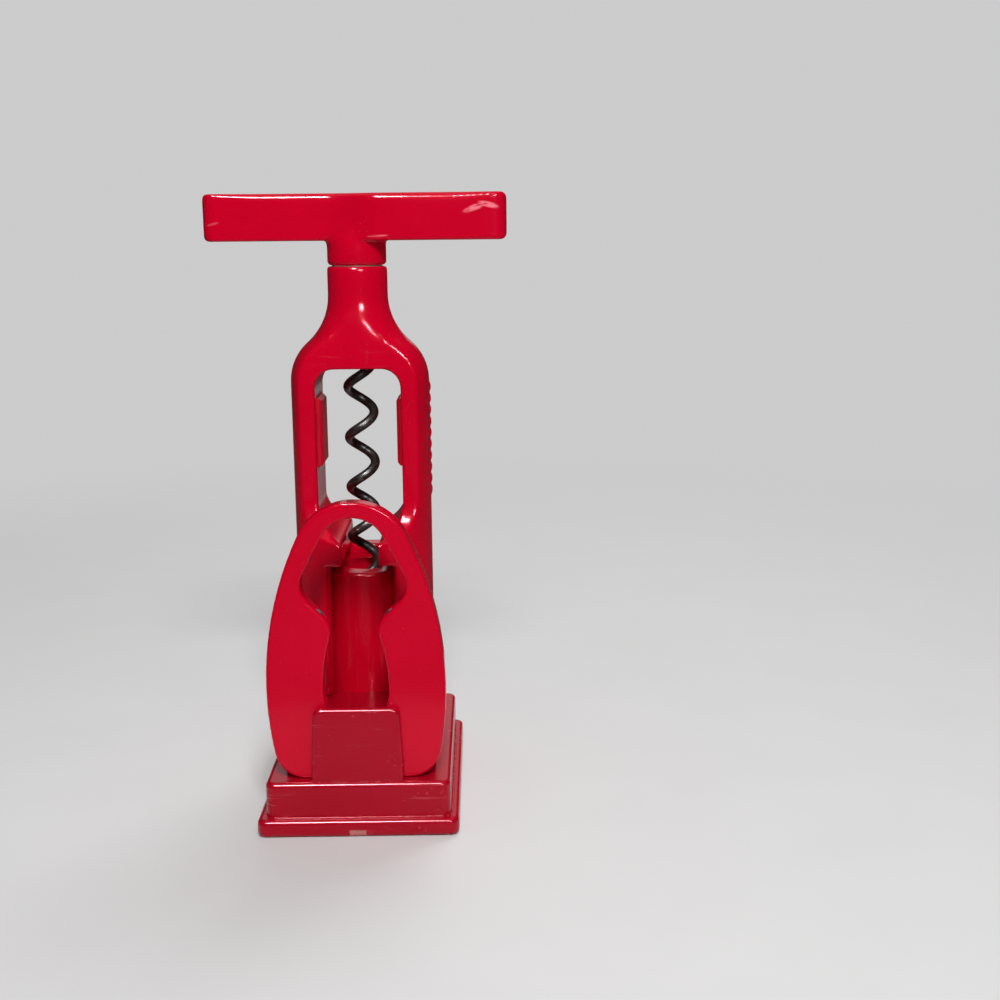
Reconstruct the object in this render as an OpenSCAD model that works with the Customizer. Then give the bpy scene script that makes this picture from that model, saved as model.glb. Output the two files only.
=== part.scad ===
// Self-pulling corkscrew with a T handle, standing on its display stand behind a foil cutter.
// Millimetres, +Z up, origin on the floor at the middle of the stand.
// The handle bar lies along X and the camera side of the stand faces -Y.

/* [Worm] */
// Outside diameter of the helix
worm_d = 11.2; // [9:0.1:14]
// Diameter of the wire
wire_d = 3; // [2.4:0.1:3.6]
// Rise of the helix in one turn
worm_pitch = 16.4; // [12:0.1:20]
// Length of the helix below the underside of the hub
worm_l = 128; // [118:1:132]
// Height over which the wire swings out from the axis to the helix
worm_lead_in = 12; // [8:1:16]
// Turn of the helix about the axis
worm_turn = 315; // [0:1:359]
// Length of the ground point, in degrees of turn
worm_point = 120; // [60:10:180]
// Share of the wire's thickness left at the very tip
worm_tip = 0.12; // [0.08:0.01:0.3]

/* [Handle] */
// Length of the bar
bar_l = 95; // [80:1:110]
// Height of the bar
bar_h = 14.6; // [12:0.1:18]
// Depth of the bar, front to back
bar_t = 17; // [14:0.5:20]
// Shift of each arm off the hub's centre: one arm forward, the other back
bar_sway = 2; // [0:0.1:4]
// Half length of the stretch where one arm blends into the other
bar_blend = 9; // [5:0.5:14]
// Corner radius of the bar's ends, seen from above
bar_end_r = 4; // [2:0.5:7]
// Corner radius of the bar's ends, seen from the front
bar_corner_r = 2; // [1:0.1:4]
// Height of the hub below the bar
hub_h = 7.6; // [6:0.1:12]
// Distance by which the hub's side stands back from the neck's
hub_inset = 0.2; // [0:0.05:0.6]
// Chamfer on each side of the seam between hub and neck
seam_chamfer = 0.7; // [0.3:0.1:1.2]
// Diameter of the ferrule that anchors the worm
collar_d = 8; // [6:0.1:10]
// Length of the ferrule
collar_l = 12; // [8:0.5:15]
// Distance of the ferrule above the underside of the hub
collar_rise = 2; // [1:0.1:4]

/* [Neck] */
// Wall of the guide bush in the neck
bush_wall = 1.2; // [1:0.1:2]
// Wall of the neck around the bush
neck_wall = 2.1; // [1.8:0.1:3]
// Straight height of the neck
neck_h = 8.9; // [6:0.1:12]
// Thickness of the thrust washer
washer_t = 1.2; // [0.8:0.1:2]
// Width by which the washer reaches past the bush
washer_lip = 0.6; // [0.4:0.1:0.8]

/* [Frame] */
// Bore of the mouth that grips the bottle's neck
mouth_d = 30; // [28:0.1:32]
// Wall of the mouth
mouth_wall = 7.2; // [6:0.1:9]
// Height of the mouth, from the feet of the legs to the jaws
mouth_h = 43.4; // [38:0.5:50]
// Width of the gap at the front of the mouth
gap_w = 20; // [16:0.5:22]
// Widening of each side of that gap towards the outside
gap_flare = 2.5; // [1:0.1:3]
// Thickness of the jaws beside the slot
jaw_h = 7.2; // [5:0.1:10]
// Height of the sloping floor of the window
funnel_h = 10.5; // [8:0.5:18]
// Radius of the hollow curve of that floor
funnel_r = 18; // [14:0.5:40]
// Width of the window
window_w = 27; // [25:0.1:28]
// Height of the window's straight sides and top corners
window_h = 43.9; // [36:0.1:50]
// Radius of the window's top corners
window_r = 6; // [3:0.5:9]
// Height from the top of the window to the top of the neck
bridge_h = 32; // [28:0.1:40]
// Radius of the hollow curve where the neck flares
flare_r = 20; // [14:0.1:26]
// Radius of the round curve of the shoulder
shoulder_r = 16.3; // [12:0.1:20]
// Thickness of the frame between its flat faces
frame_t = 24.4; // [22:0.1:27]
// Distance below the window's top where the flat faces start to curve in towards the neck
lean_drop = 8; // [2:0.5:14]
// Distance by which the curved-in faces stand proud of the neck
flat_proud = 0.3; // [0.2:0.1:1]
// Radius of the scoop where the flat faces run out into the mouth
scoop_r = 15; // [10:0.5:20]
// Height of the scoop's start above the jaws' underside
scoop_rise = 21; // [18:0.5:26]
// Number of grip ribs on the outside of the right leg
grip_n = 10; // [4:1:12]
// Height of one grip rib
grip_h = 1.8; // [1:0.1:2.4]
// Width of one grip rib
grip_w = 5; // [3:0.5:10]
// Height by which a grip rib stands proud
grip_proud = 0.5; // [0.3:0.1:0.8]
// Distance of the lowest grip rib above the sloping floor
grip_rise = 2.5; // [1:0.1:6]
// Distance of the highest grip rib below the shoulder
grip_drop = 1.5; // [1:0.1:6]

/* [Cork pads] */
// Depth of a pad, front to back
pad_w = 15; // [10:0.5:17]
// Height by which a pad stands off the leg
pad_proud = 1.7; // [1:0.1:2]
// Depth by which a pad is let into the leg
pad_sunk = 1; // [0.6:0.1:1.6]
// Bevel around the pad's face
pad_bevel = 1; // [0.4:0.1:1.4]
// Distance of the pad above the sloping floor
pad_rise = 12.4; // [8:0.1:14]
// Distance of the pad below the window's top corner
pad_drop = 3.5; // [2:0.1:6]

/* [Stand] */
// Wall of the hollow stand
stand_wall = 2.4; // [1.6:0.1:3.2]
// Height of the flange
flange_h = 5.4; // [4:0.1:8]
// Distance by which the flange reaches past the plinth
flange_lip = 2.55; // [2:0.05:5]
// Height of the plinth above the flange
plinth_h = 11; // [8:0.5:16]
// Height of the raised block above the plinth
block_h = 16.9; // [14:0.1:22]
// Distance from the frame's side to the block's side
block_margin_side = 1.2; // [0.8:0.1:3]
// Distance from the frame's front to the block's front
block_margin_front = 16; // [8:0.1:20]
// Distance from the frame's back to the block's back
block_margin_back = 7.6; // [6:0.1:16]
// Distance from the block's side to the plinth's side
plinth_margin_side = 4.85; // [4:0.05:9]
// Distance from the block's back to the plinth's back
plinth_margin_back = 3.5; // [3:0.1:8]
// Upright corner radius of flange, plinth and block
stand_corner_r = 3; // [2:0.1:3.5]
// Distance of the tab behind the plinth's front, clear of the plinth's rounded edge
tab_set = 1; // [0.4:0.1:2]
// Thickness of the front tab
tab_t = 2.4; // [2:0.1:4]
// Width of the tab at its foot
tab_w = 28.5; // [20:0.5:34]
// Width of the tab at its top
tab_top_w = 26.3; // [18:0.1:30]
// Height of the tab above the plinth
tab_h = 23.2; // [16:0.1:26]
// Radius of the tab's top corners
tab_corner_r = 2.5; // [1.5:0.1:4]
// Distance of the post's top below the jaws
post_drop = 3.7; // [2:0.1:8]
// Rounded edge at the top of the post
post_edge_r = 1.2; // [0.6:0.1:2]
// Wall of the post's spigot in the block
spigot_wall = 3; // [2.2:0.1:3.4]
// Length of the spigot below the block's top wall
spigot_l = 1.6; // [1:0.1:4]

/* [Foil cutter] */
// Height of the cutter
cutter_h = 85.9; // [80:0.1:96]
// Greatest width of the cutter
cutter_w = 54.4; // [52:0.1:58]
// Thickness of the cutter
cutter_t = 6.5; // [5.5:0.1:8]
// Height of the widest place above the cutter's foot
belly_h = 28.3; // [25:0.1:32]
// Radius of the long curved sides
side_r = 108.6; // [100:0.1:120]
// Radius of the outer corners at the foot
foot_r = 9.5; // [7:0.1:10]
// Thickness of the arch at its crown
arch_t = 4.8; // [4:0.1:6]
// Inner radius of the arch
arch_r = 10.3; // [9.5:0.1:11]
// Lean of the arch's straight sides
arch_lean = 27.5; // [25:0.5:29]
// Half width of the pocket at its widest
pocket_half = 15.9; // [15.2:0.1:16.4]
// Radius of the pocket's lower corners
pocket_r = 7.5; // [6.5:0.1:8]
// Slope of the shoulders under the pocket
ledge_slope = 45; // [43:0.5:47]
// Half width of the waist under the pocket
waist_half = 7.3; // [6.5:0.1:8]
// Radius of the waist's corners
waist_r = 6.5; // [5.5:0.1:7.5]
// Half width of the gap between the legs
leg_gap_half = 9.9; // [9:0.1:11]
// Half width of the opening between the legs' feet
foot_gap_half = 7.5; // [6.5:0.1:8.5]
// Radius of the curve from the gap to the feet
foot_gap_r = 19; // [15:0.5:24]
// Radius of the inner corners of the feet
toe_r = 3; // [2:0.1:4]

/* [Cutting wheels] */
// Diameter of a cutting wheel
wheel_d = 5; // [4:0.1:5.4]
// Thickness of a cutting wheel at its hub
wheel_t = 1; // [0.8:0.1:1.6]
// Thickness left at the sharpened rim
wheel_rim_t = 0.2; // [0.1:0.05:0.4]
// Distance by which a wheel stands into the pocket
wheel_proud = 0.3; // [0.2:0.1:1]
// Diameter of a wheel's axle pin
pin_d = 1.4; // [1.2:0.1:1.8]
// Depth of plastic left in front of a pin
pin_cover = 0.9; // [0.6:0.1:1.4]

/* [Clearances] */
// Radial clearance of a running fit
fit_run = 0.05; // [0.03:0.01:0.08]
// Clearance of a piece seated in its pocket
fit_seat = 0.03; // [0.02:0.01:0.06]
// Clearance between the worm and its bush
worm_clear = 0.6; // [0.4:0.05:1]
// Clearance between the worm and the jaws on each side
jaw_clear = 0.3; // [0.3:0.05:1]
// Clearance between the worm and the bore of the post
bore_clear = 2.4; // [1.5:0.1:3]
// Clearance between the post and the mouth
post_clear = 0.75; // [0.4:0.05:1.2]
// Clearance on each side of the cutter in its slot
slot_clear = 0.6; // [0.3:0.05:1]
// Clearance around a cutting wheel in its slot
wheel_clear = 0.3; // [0.2:0.05:0.4]
// Gap under a piece that lifts off its seat
rest_gap = 0.1; // [0.05:0.01:0.2]

/* [Hidden] */
$fn = 64;
// Overlap of a cutting tool past the face it cuts
eps = 0.5;

// Widths that follow from the worm outwards
bush_bore = worm_d + 2 * worm_clear;
bush_d = bush_bore + 2 * bush_wall;
neck_bore = bush_d + 2 * fit_seat;
neck_d = neck_bore + 2 * neck_wall;
washer_d = bush_d + 2 * washer_lip;
hub_d = neck_d - 2 * hub_inset;
jaw_slot = worm_d + 2 * jaw_clear;
post_bore = worm_d + 2 * bore_clear;
spigot_d = post_bore + 2 * spigot_wall;
body_d = mouth_d + 2 * mouth_wall;
post_d = mouth_d - 2 * post_clear;
slot_w = cutter_t + 2 * slot_clear;

// Plan of the stand, from the frame that stands on it
block_w = body_d + 2 * block_margin_side;
block_d = body_d + block_margin_front + block_margin_back;
plinth_w = block_w + 2 * plinth_margin_side;
plinth_d = tab_set + tab_t + slot_w + block_d + plinth_margin_back;
flange_w = plinth_w + 2 * flange_lip;
flange_d = plinth_d + 2 * flange_lip;
plinth_y = -plinth_d / 2;
tab_y = plinth_y + tab_set;
slot_y = tab_y + tab_t;
cutter_y = slot_y + slot_w / 2;
block_y = slot_y + slot_w + block_d / 2;
axis_y = slot_y + slot_w + block_margin_front + body_d / 2;

// Heights, from the floor up
plinth_z = flange_h + plinth_h;
block_z = plinth_z + block_h;
feet_z = block_z + rest_gap;
jaw_z = feet_z + mouth_h;
post_z = jaw_z - post_drop;
post_h = post_z - block_z;
slot_z = jaw_z + jaw_h;
floor_z = slot_z + funnel_h;
window_z = floor_z + window_h;
neck_z = window_z + bridge_h;
flare_z = neck_z - neck_h;
washer_z = neck_z - washer_t;
hub_z = neck_z + rest_gap;
bar_z = hub_z + hub_h;
collar_z = hub_z + collar_rise;
cutter_z = plinth_z + rest_gap;
pad_z = floor_z + pad_rise;
pad_h = window_z - window_r - pad_drop - pad_z;

// Two arcs that join the neck to the body: their centres
shoulder_step = (body_d - neck_d) / 2;
arc_sum = flare_r + shoulder_r;
arc_run = arc_sum - shoulder_step;
arc_drop = sqrt(arc_sum * arc_sum - arc_run * arc_run);
flare_c = [neck_d / 2 + flare_r, flare_z];
shoulder_c = [body_d / 2 - shoulder_r, flare_z - arc_drop];
shoulder_join = shoulder_c + (flare_c - shoulder_c) * shoulder_r / arc_sum;

// Hollow curve of the window's floor, from the slot out to the right leg: its centre and end angles
funnel_in = [jaw_slot / 2, slot_z];
funnel_out = [window_w / 2, floor_z];
funnel_run = funnel_out - funnel_in;
funnel_chord = norm(funnel_run);
funnel_normal = [-funnel_run.y, funnel_run.x] / funnel_chord;
funnel_c = (funnel_in + funnel_out) / 2 +
    funnel_normal * sqrt(funnel_r * funnel_r - funnel_chord * funnel_chord / 4);
function angle_at(p) = atan2(p.y - funnel_c.y, p.x - funnel_c.x);

// Curve of the flat faces from the legs in to the neck
lean_z = window_z - lean_drop;
lean_h = flare_z - lean_z;
neck_face = neck_d / 2 + flat_proud;
lean_in = frame_t / 2 - neck_face;
lean_r = (lean_h * lean_h + lean_in * lean_in) / (2 * lean_in);

// Grip ribs, spread over the straight height of a leg below the shoulder
grip_z = floor_z + grip_rise;
grip_pitch = (shoulder_c.y - grip_drop - grip_h - grip_z) / (grip_n - 1);

// Points of an arc about c from angle a to angle b
function arc(c, r, a, b, n = 16) =
    [for (i = [0:n]) let (t = a + (b - a) * i / n) c + r * [cos(t), sin(t)]];
// The same outline on the other side of the middle, walked backwards
function mirrored(p) = [for (i = [len(p) - 1:-1:0]) [-p[i].x, p[i].y]];
function unit(a) = [cos(a), sin(a)];
function clamp(v, lo, hi) = min(max(v, lo), hi);

// Outline of the cutter: long side arcs, a crown arc that touches both, and rounded feet
belly_c = [cutter_w / 2 - side_r, belly_h];
crown_rise = cutter_h - belly_h;
crown_r = (side_r * side_r - belly_c.x * belly_c.x - crown_rise * crown_rise) /
    (2 * (side_r - crown_rise));
crown_c = [0, cutter_h - crown_r];
crown_a = atan2(crown_c.y - belly_c.y, crown_c.x - belly_c.x);
foot_dy = foot_r - belly_h;
foot_c = [belly_c.x + sqrt(pow(side_r - foot_r, 2) - foot_dy * foot_dy), foot_r];
foot_a = atan2(foot_dy, foot_c.x - belly_c.x);
outer_half = concat(
    arc(crown_c, crown_r, 90, crown_a),
    arc(belly_c, side_r, crown_a, foot_a),
    arc(foot_c, foot_r, foot_a, -90));

// Outline of the cutter's opening: arch, pocket corner, waist, leg gap and toes
arch_n = unit(arch_lean);
ledge_n = unit(-ledge_slope);
arch_c = [0, cutter_h - arch_t - arch_r];
pocket_x = pocket_half - pocket_r;
pocket_c = [pocket_x, (arch_c * arch_n + arch_r - pocket_r - pocket_x * arch_n.x) / arch_n.y];
waist_x = waist_half + waist_r;
waist_c = [waist_x, (pocket_c * ledge_n + pocket_r + waist_r - waist_x * ledge_n.x) / ledge_n.y];
gap_dx = waist_x - leg_gap_half;
gap_dy = waist_c.y - belly_h;
gap_r = (gap_dx * gap_dx + gap_dy * gap_dy - waist_r * waist_r) / (2 * (waist_r - gap_dx));
gap_c = [leg_gap_half - gap_r, belly_h];
gap_a = atan2(gap_dy, waist_x - gap_c.x);
foot_gap_c = [leg_gap_half - foot_gap_r, belly_h];
foot_gap_a = acos((foot_gap_half - foot_gap_c.x) / foot_gap_r);
toe_c = [foot_gap_half + toe_r, toe_r];
inner_half = concat(
    arc(arch_c, arch_r, 90, arch_lean),
    arc(pocket_c, pocket_r, arch_lean, -ledge_slope),
    arc(waist_c, waist_r, 180 - ledge_slope, 180 + gap_a),
    arc(gap_c, gap_r, gap_a, 0),
    arc(foot_gap_c, foot_gap_r, 0, -foot_gap_a),
    arc(toe_c, toe_r, 180, 270),
    [[toe_c.x, -eps]]);

// Centres of the cutting wheels: they bear on a bottle's neck that sits in the pocket
arch_reach = arch_c * arch_n + arch_r;
ledge_reach = pocket_c * ledge_n + pocket_r;
// Height in the pocket at which arch and ledges are equally far away
neck_seat = [0, (arch_reach - ledge_reach) / (arch_n.y - ledge_n.y)];
wheel_reach = arch_reach - neck_seat * arch_n + wheel_d / 2 - wheel_proud;
upper_wheel = neck_seat + wheel_reach * arch_n;
lower_wheel = neck_seat + wheel_reach * ledge_n;
wheel_slot_t = wheel_t + 2 * wheel_clear;
wheel_slot_d = wheel_d + 2 * wheel_clear;
pin_l = cutter_t - pin_cover;

// Centre line of the worm: [radius about the axis, turn, height, wire radius]
helix_r = (worm_d - wire_d) / 2;
ring_step = 30;
ring_sides = 10;
helix_top = hub_z;
shank_top = collar_z + collar_l - rest_gap;
helix_turn = 360 * worm_l / worm_pitch;
helix_rings = ceil(helix_turn / ring_step);
function ease(u) = u * u * (3 - 2 * u);
function helix_at(i) =
    let (a = min(i * ring_step, helix_turn))
    let (drop = worm_pitch * a / 360)
    let (left = helix_turn - a)
    [helix_r * ease(clamp(drop / worm_lead_in, 0, 1)),
     worm_turn - a,
     helix_top - drop,
     wire_d / 2 * clamp(left / worm_point, worm_tip, 1)];
worm_line = concat(
    [[0, worm_turn, shank_top, wire_d / 2]],
    [for (i = [0:helix_rings]) helix_at(i)]);
function on_axis(k) = let (p = worm_line[k])
    [p[0] * cos(p[1]), p[0] * sin(p[1]), p[2]];
function along(k) =
    let (d = on_axis(min(k + 1, len(worm_line) - 1)) - on_axis(max(k - 1, 0)))
    d / norm(d);
// Ring of the wire around one point of the line, square to the line
function wire_ring(k) =
    let (t = along(k))
    let (side = cross(t, [cos(worm_turn), sin(worm_turn), 0]))
    let (u = side / norm(side))
    let (v = cross(t, u))
    [for (j = [0:ring_sides - 1]) let (a = 360 * j / ring_sides)
        on_axis(k) + worm_line[k][3] * (u * cos(a) + v * sin(a))];

red = [0.78, 0.0, 0.12];
acetal = [0.9, 0.89, 0.86];
black_coat = [0.13, 0.11, 0.1];
brass = [0.75, 0.6, 0.3];
steel = [0.7, 0.7, 0.72];

// Rectangle with round corners, about the origin
module round_rect(w, d, r) {
    square([w - 2 * r, d], center = true);
    square([w, d - 2 * r], center = true);
    for (x = [-1, 1], y = [-1, 1])
        translate([x * (w / 2 - r), y * (d / 2 - r)]) circle(r);
}

// A shape drawn in X and Z, given its depth along Y about y = 0
module upright(depth) {
    rotate([90, 0, 0]) linear_extrude(depth, center = true) children();
}

// Outline drawn as a right half from top to bottom, closed with its mirror image
module both_halves(half) {
    polygon(concat(half, mirrored(half)));
}

module tab_outline() {
    top = tab_h - tab_corner_r;
    polygon([[-tab_w / 2, -eps], [tab_w / 2, -eps], [tab_w / 2, 0],
        [tab_top_w / 2, top], [-tab_top_w / 2, top], [-tab_w / 2, 0]]);
    translate([-tab_top_w / 2 + tab_corner_r, top]) square([tab_top_w - 2 * tab_corner_r, tab_corner_r]);
    for (side = [-1, 1])
        translate([side * (tab_top_w / 2 - tab_corner_r), top]) circle(tab_corner_r);
}

module stand_base() {
    inner_r = stand_corner_r - stand_wall / 2;
    color(red) difference() {
        union() {
            linear_extrude(flange_h) round_rect(flange_w, flange_d, stand_corner_r);
            linear_extrude(plinth_z) round_rect(plinth_w, plinth_d, stand_corner_r);
            translate([0, block_y, 0])
                linear_extrude(block_z) round_rect(block_w, block_d, stand_corner_r);
            translate([0, tab_y + tab_t / 2, plinth_z]) upright(tab_t) tab_outline();
        }
        translate([0, 0, -eps]) linear_extrude(plinth_z - stand_wall + eps)
            round_rect(plinth_w - 2 * stand_wall, plinth_d - 2 * stand_wall, inner_r);
        translate([0, block_y, -eps]) linear_extrude(block_z - stand_wall + eps)
            round_rect(block_w - 2 * stand_wall, block_d - 2 * stand_wall, inner_r);
        translate([0, axis_y, block_z - stand_wall - eps])
            cylinder(d = spigot_d + 2 * fit_seat, h = stand_wall + 2 * eps);
    }
}

module stand_post() {
    edge_x = post_d / 2 - post_edge_r;
    color(red) translate([0, axis_y, 0]) difference() {
        union() {
            translate([0, 0, block_z]) cylinder(d = post_d, h = post_h - post_edge_r);
            translate([0, 0, block_z]) cylinder(r = edge_x, h = post_h);
            translate([0, 0, post_z - post_edge_r]) rotate_extrude()
                translate([edge_x, 0]) circle(post_edge_r);
            translate([0, 0, block_z - stand_wall - spigot_l])
                cylinder(d = spigot_d, h = stand_wall + spigot_l + eps);
        }
        translate([0, 0, block_z - stand_wall - spigot_l - eps])
            cylinder(d = post_bore, h = post_h + stand_wall + spigot_l + 2 * eps);
    }
}

// Half profile of the bottle shape: radius along X, height along Y
module bottle_profile() {
    difference() {
        union() {
            translate([0, feet_z]) square([body_d / 2, shoulder_c.y - feet_z]);
            intersection() {
                translate(shoulder_c) circle(shoulder_r);
                translate([0, shoulder_c.y - shoulder_r]) square([body_d, 2 * shoulder_r]);
            }
            polygon([[0, shoulder_c.y], [shoulder_join.x, shoulder_c.y], shoulder_join,
                [neck_d / 2, flare_z], [0, flare_z]]);
            translate([0, flare_z]) square([neck_d / 2, neck_h - seam_chamfer]);
            polygon([[0, neck_z - seam_chamfer], [neck_d / 2, neck_z - seam_chamfer],
                [neck_d / 2 - seam_chamfer, neck_z], [0, neck_z]]);
        }
        translate(flare_c) circle(flare_r);
    }
}

// What is cut away in front of one flat face: drawn in Y and Z, with the scoop at its foot
module flat_cut() {
    reach = body_d / 2;
    scoop_z = jaw_z + scoop_rise;
    rotate([90, 0, 90]) linear_extrude(body_d + 2 * eps, center = true) {
        translate([frame_t / 2, scoop_z]) square([reach, lean_z - scoop_z]);
        translate([frame_t / 2 + scoop_r, scoop_z]) circle(scoop_r);
        difference() {
            translate([neck_face, lean_z]) square([reach, neck_z - lean_z + eps]);
            translate([frame_t / 2 - lean_r, lean_z]) circle(lean_r, $fn = 360);
        }
    }
}

// A flat face is cut at the front, so that the bottle is turned half round between its two flats
module with_flat() {
    difference() {
        children();
        rotate(180) flat_cut();
    }
}

module window_outline() {
    half = window_w / 2;
    corner_z = window_z - window_r;
    both_halves(concat(
        [[half, corner_z]],
        arc(funnel_c, funnel_r, angle_at(funnel_out), angle_at(funnel_in)),
        [[jaw_slot / 2, jaw_z - eps]]));
    translate([-half + window_r, corner_z]) square([window_w - 2 * window_r, window_r]);
    for (side = [-1, 1]) translate([side * (half - window_r), corner_z]) circle(window_r);
}

// Plan of the gap at the front of the mouth, flared towards the outside
module mouth_gap() {
    deep = body_d / 2;
    flare_y = deep - mouth_wall;
    half = gap_w / 2;
    polygon([[-half, 0], [half, 0], [half, -flare_y], [half + gap_flare, -deep],
        [half + gap_flare, -deep - eps], [-half - gap_flare, -deep - eps], [-half - gap_flare, -deep],
        [-half, -flare_y]]);
}

module grip_ribs() {
    for (i = [0:grip_n - 1])
        translate([0, 0, grip_z + i * grip_pitch]) intersection() {
            cylinder(d = body_d + 2 * grip_proud, h = grip_h);
            translate([0, -grip_w / 2, 0]) cube([body_d, grip_w, grip_h]);
        }
}

// Cavity in a leg's inner wall that a cork pad is let into
module pad_seat(side) {
    w = pad_w + 2 * fit_seat;
    h = pad_h + 2 * fit_seat;
    translate([side * window_w / 2, 0, pad_z + pad_h / 2])
        cube([2 * pad_sunk, w, h], center = true);
}

module frame() {
    color(red) translate([0, axis_y, 0]) difference() {
        union() {
            rotate(180) with_flat() rotate(180) with_flat() rotate_extrude() bottle_profile();
            grip_ribs();
        }
        upright(body_d + 2 * eps) window_outline();
        translate([0, 0, feet_z - eps]) cylinder(d = mouth_d, h = mouth_h + eps);
        translate([0, 0, feet_z - eps]) linear_extrude(mouth_h + eps) mouth_gap();
        translate([0, 0, window_z - eps]) cylinder(d = neck_bore, h = bridge_h + 2 * eps);
        translate([0, 0, washer_z]) cylinder(d = washer_d + 2 * fit_run, h = washer_t + eps);
        for (side = [-1, 1]) pad_seat(side);
    }
}

// Pad on the inner wall of one leg, bevelled on all four sides of its face
module cork_pad(side) {
    wall_x = window_w / 2;
    back = wall_x + pad_sunk - fit_seat;
    front = wall_x - pad_proud;
    shy = front + pad_bevel;
    z0 = pad_z;
    z1 = pad_z + pad_h;
    half = pad_w / 2;
    color(red) translate([0, axis_y, 0]) intersection() {
        upright(pad_w) polygon([[side * back, z0], [side * shy, z0], [side * front, z0 + pad_bevel],
            [side * front, z1 - pad_bevel], [side * shy, z1], [side * back, z1]]);
        translate([0, 0, z0]) linear_extrude(pad_h)
            polygon([[side * back, -half], [side * shy, -half], [side * front, -half + pad_bevel],
                [side * front, half - pad_bevel], [side * shy, half], [side * back, half]]);
    }
}

module left_cork_pad() { cork_pad(-1); }
module right_cork_pad() { cork_pad(1); }

module neck_bush() {
    color(acetal) translate([0, axis_y, window_z]) difference() {
        cylinder(d = bush_d, h = washer_z - window_z);
        translate([0, 0, -eps]) cylinder(d = bush_bore, h = bridge_h + eps);
    }
}

module thrust_washer() {
    color(acetal) translate([0, axis_y, washer_z + rest_gap / 2]) difference() {
        cylinder(d = washer_d, h = washer_t);
        translate([0, 0, -eps]) cylinder(d = bush_bore, h = washer_t + 2 * eps);
    }
}

// Plan of the bar: an S that is the same when turned half round
function bar_shift(x) = -bar_sway * sin(90 * clamp(x / bar_blend, -1, 1));
bar_steps = 12;
bar_edge = [for (i = [-bar_steps:bar_steps]) let (x = bar_blend * i / bar_steps)
    [x, bar_shift(x) - bar_t / 2]];
bar_end = [bar_l / 2 - bar_end_r, bar_t / 2 - bar_end_r];
bar_half = concat(
    bar_edge,
    arc([bar_end.x, -bar_sway - bar_end.y], bar_end_r, -90, 0),
    arc([bar_end.x, -bar_sway + bar_end.y], bar_end_r, 0, 90));

module bar_front() {
    rotate([90, 0, 0]) linear_extrude(2 * bar_t, center = true)
        translate([0, bar_z + bar_h / 2]) round_rect(bar_l, bar_h, bar_corner_r);
}

module handle() {
    color(red) translate([0, axis_y, 0]) difference() {
        union() {
            intersection() {
                translate([0, 0, bar_z]) linear_extrude(bar_h)
                    polygon(concat(bar_half, [for (p = bar_half) -p]));
                bar_front();
            }
            translate([0, 0, hub_z]) cylinder(d1 = hub_d - 2 * seam_chamfer, d2 = hub_d, h = seam_chamfer);
            translate([0, 0, hub_z + seam_chamfer]) cylinder(d = hub_d, h = hub_h);
        }
        translate([0, 0, collar_z]) cylinder(d = collar_d + 2 * fit_seat, h = collar_l + fit_seat);
        translate([0, 0, hub_z - eps]) cylinder(d = collar_d + 2 * fit_seat, h = collar_rise + 2 * eps);
    }
}

// One unbroken wire: straight shank, helix and ground point
module worm() {
    rings = [for (k = [0:len(worm_line) - 1]) each wire_ring(k)];
    n = ring_sides;
    last = len(worm_line) - 1;
    sides = [for (k = [0:last - 1], j = [0:n - 1])
        let (a = k * n + j, b = k * n + (j + 1) % n)
        each [[a, b, b + n], [a, b + n, a + n]]];
    caps = [for (j = [1:n - 2]) each
        [[0, j + 1, j], [last * n, last * n + j, last * n + j + 1]]];
    color(black_coat) translate([0, axis_y, 0]) polyhedron(rings, concat(sides, caps));
}

module worm_collar() {
    color(brass) translate([0, axis_y, collar_z]) difference() {
        cylinder(d = collar_d, h = collar_l);
        translate([0, 0, -eps]) cylinder(d = wire_d + 2 * fit_seat, h = collar_l + 2 * eps);
    }
}

// Moves a wheel or a pin to its place in the cutter: side is -1 left or 1 right
module at_wheel(side, centre) {
    translate([side * centre.x, cutter_y, cutter_z + centre.y]) rotate([-90, 0, 0]) children();
}

module cutter_body() {
    color(red) difference() {
        translate([0, cutter_y, cutter_z]) upright(cutter_t) difference() {
            both_halves(outer_half);
            both_halves(inner_half);
        }
        for (side = [-1, 1], centre = [upper_wheel, lower_wheel]) at_wheel(side, centre) {
            translate([0, 0, -wheel_slot_t / 2]) cylinder(d = wheel_slot_d, h = wheel_slot_t);
            translate([0, 0, cutter_t / 2 - pin_l]) cylinder(d = pin_d + 2 * fit_seat, h = pin_l + eps);
        }
    }
}

// Steel disc, sharpened from both faces to a thin rim
module wheel(side, centre) {
    bore_r = pin_d / 2 + fit_run;
    rim_r = wheel_d / 2;
    land_r = (bore_r + rim_r) / 2;
    color(steel) at_wheel(side, centre) rotate_extrude()
        polygon([[bore_r, -wheel_t / 2], [land_r, -wheel_t / 2], [rim_r, -wheel_rim_t / 2],
            [rim_r, wheel_rim_t / 2], [land_r, wheel_t / 2], [bore_r, wheel_t / 2]]);
}

module pin(side, centre) {
    color(steel) at_wheel(side, centre)
        translate([0, 0, cutter_t / 2 - pin_l]) cylinder(d = pin_d, h = pin_l);
}

module upper_left_wheel() { wheel(-1, upper_wheel); }
module upper_right_wheel() { wheel(1, upper_wheel); }
module lower_left_wheel() { wheel(-1, lower_wheel); }
module lower_right_wheel() { wheel(1, lower_wheel); }
module upper_left_pin() { pin(-1, upper_wheel); }
module upper_right_pin() { pin(1, upper_wheel); }
module lower_left_pin() { pin(-1, lower_wheel); }
module lower_right_pin() { pin(1, lower_wheel); }

// Least gap of the worm to itself, between points about a turn apart
turn_rings = 360 / ring_step;
worm_gap = min([for (k = [1:len(worm_line) - turn_rings - 1], m = [-2:2])
    norm(on_axis(k) - on_axis(min(k + turn_rings + m, len(worm_line) - 1)))]) - wire_d;
echo(worm_gap = worm_gap);

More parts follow.
